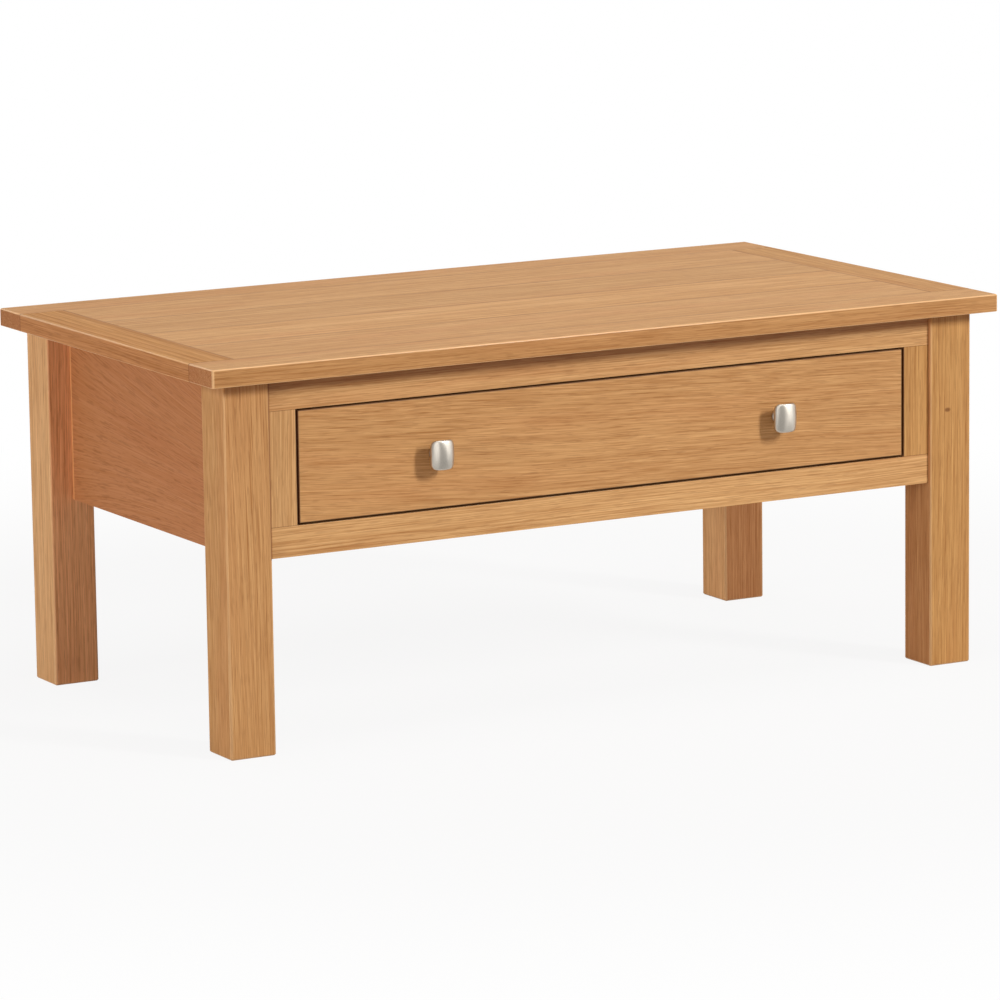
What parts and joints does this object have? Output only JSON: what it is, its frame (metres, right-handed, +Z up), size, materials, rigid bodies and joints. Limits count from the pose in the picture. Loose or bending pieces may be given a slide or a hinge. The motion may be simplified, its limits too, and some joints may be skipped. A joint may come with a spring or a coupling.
{
  "type": "coffee table",
  "caption": "Oak coffee table on square legs, with panelled sides and a wide dovetailed drawer with cushion knobs that slides out at the front.",
  "frame": {"origin": "on the floor, under the middle of the top", "axes": "+X along the length, to the right for someone facing the drawer; +Y to the back; +Z up"},
  "size_m": [1, 0.55, 0.43],
  "materials": {
    "oak": "satin lacquered honey oak",
    "oak_veneer": "satin lacquered oak veneer",
    "inner_wood": "plain sanded pale wood",
    "plywood": "sanded birch plywood",
    "satin_nickel": "brushed satin nickel",
    "screw_steel": "plain zinc-plated steel"
  },
  "bodies": {
    "table": {"top_front_strip": "oak", "top_back_strip": "oak", "top_left_crossband": "oak", "top_right_crossband": "oak", "top_field_board_1": "oak", "top_field_board_2": "oak", "top_field_board_3": "oak", "top_field_board_4": "oak", "front_left_leg": "oak", "front_right_leg": "oak", "back_left_leg": "oak", "back_right_leg": "oak", "front_top_rail": "oak", "front_bottom_rail": "oak", "front_left_stile": "oak", "front_right_stile": "oak", "left_side_panel": "oak_veneer", "right_side_panel": "oak_veneer", "back_panel": "oak_veneer", "left_drawer_runner": "inner_wood", "right_drawer_runner": "inner_wood", "left_drawer_guide": "inner_wood", "right_drawer_guide": "inner_wood", "left_drawer_kicker": "inner_wood", "right_drawer_kicker": "inner_wood", "left_runner_packer": "inner_wood", "right_runner_packer": "inner_wood", "left_drawer_stop": "inner_wood", "right_drawer_stop": "inner_wood", "stile_dowels": "inner_wood", "top_screws": "screw_steel", "runner_screws": "screw_steel"},
    "drawer": {"drawer_front": "oak", "drawer_left_side": "inner_wood", "drawer_right_side": "inner_wood", "drawer_back": "inner_wood", "drawer_bottom": "plywood", "left_knob": "satin_nickel", "right_knob": "satin_nickel", "knob_screws": "screw_steel"}
  },
  "joints": [
    {"name": "drawer_slide", "type": "slide", "parent": "table", "child": "drawer", "axis": [0, -1, 0], "range_m": [0, 0.3]}
  ]
}
